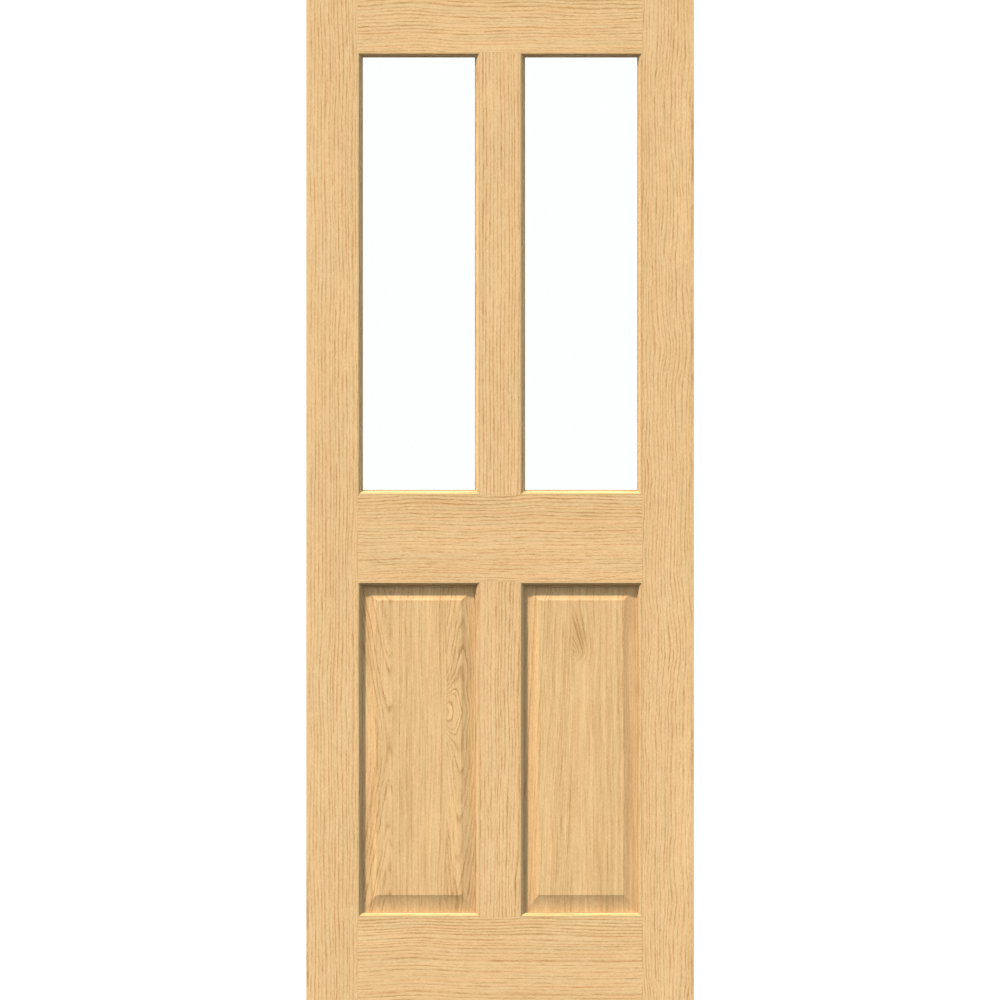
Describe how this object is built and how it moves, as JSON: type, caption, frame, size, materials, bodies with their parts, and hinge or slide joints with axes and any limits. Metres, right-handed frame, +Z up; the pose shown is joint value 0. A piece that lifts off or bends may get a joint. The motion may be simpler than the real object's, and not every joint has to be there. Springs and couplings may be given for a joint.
{
  "type": "glazed interior door",
  "caption": "Oak interior door leaf with tall clear glazed lights above raised and fielded panels, each opening lined by a mitred ovolo moulding.",
  "frame": {"origin": "foot of the hinge edge's outer face, at mid-thickness", "axes": "+X across the leaf from the hinge edge to the lock edge, +Y from the front face to the back face, +Z up"},
  "size_m": [0.762, 0.035, 1.981],
  "materials": {
    "oak_framing": "satin",
    "oak_lipping": "satin",
    "oak_moulding": "satin",
    "oak_panel": "satin",
    "glass": "gloss",
    "glazing_tape": "matte"
  },
  "bodies": {
    "root": {"bottom_rail": "oak_framing", "hinge_edge_lipping": "oak_lipping", "left_back_glazing_tape": "glazing_tape", "left_front_glazing_tape": "glazing_tape", "left_glass": "glass", "left_light_back_bead_bottom": "oak_moulding", "left_light_back_bead_left": "oak_moulding", "left_light_back_bead_right": "oak_moulding", "left_light_back_bead_top": "oak_moulding", "left_light_front_bead_bottom": "oak_moulding", "left_light_front_bead_left": "oak_moulding", "left_light_front_bead_right": "oak_moulding", "left_light_front_bead_top": "oak_moulding", "left_panel": "oak_panel", "left_panel_moulding_bottom": "oak_moulding", "left_panel_moulding_left": "oak_moulding", "left_panel_moulding_right": "oak_moulding", "left_panel_moulding_top": "oak_moulding", "left_stile": "oak_framing", "lock_edge_lipping": "oak_lipping", "lower_muntin": "oak_framing", "middle_rail": "oak_framing", "right_back_glazing_tape": "glazing_tape", "right_front_glazing_tape": "glazing_tape", "right_glass": "glass", "right_light_back_bead_bottom": "oak_moulding", "right_light_back_bead_left": "oak_moulding", "right_light_back_bead_right": "oak_moulding", "right_light_back_bead_top": "oak_moulding", "right_light_front_bead_bottom": "oak_moulding", "right_light_front_bead_left": "oak_moulding", "right_light_front_bead_right": "oak_moulding", "right_light_front_bead_top": "oak_moulding", "right_panel": "oak_panel", "right_panel_moulding_bottom": "oak_moulding", "right_panel_moulding_left": "oak_moulding", "right_panel_moulding_right": "oak_moulding", "right_panel_moulding_top": "oak_moulding", "right_stile": "oak_framing", "top_rail": "oak_framing", "upper_muntin": "oak_framing"}
  },
  "joints": []
}
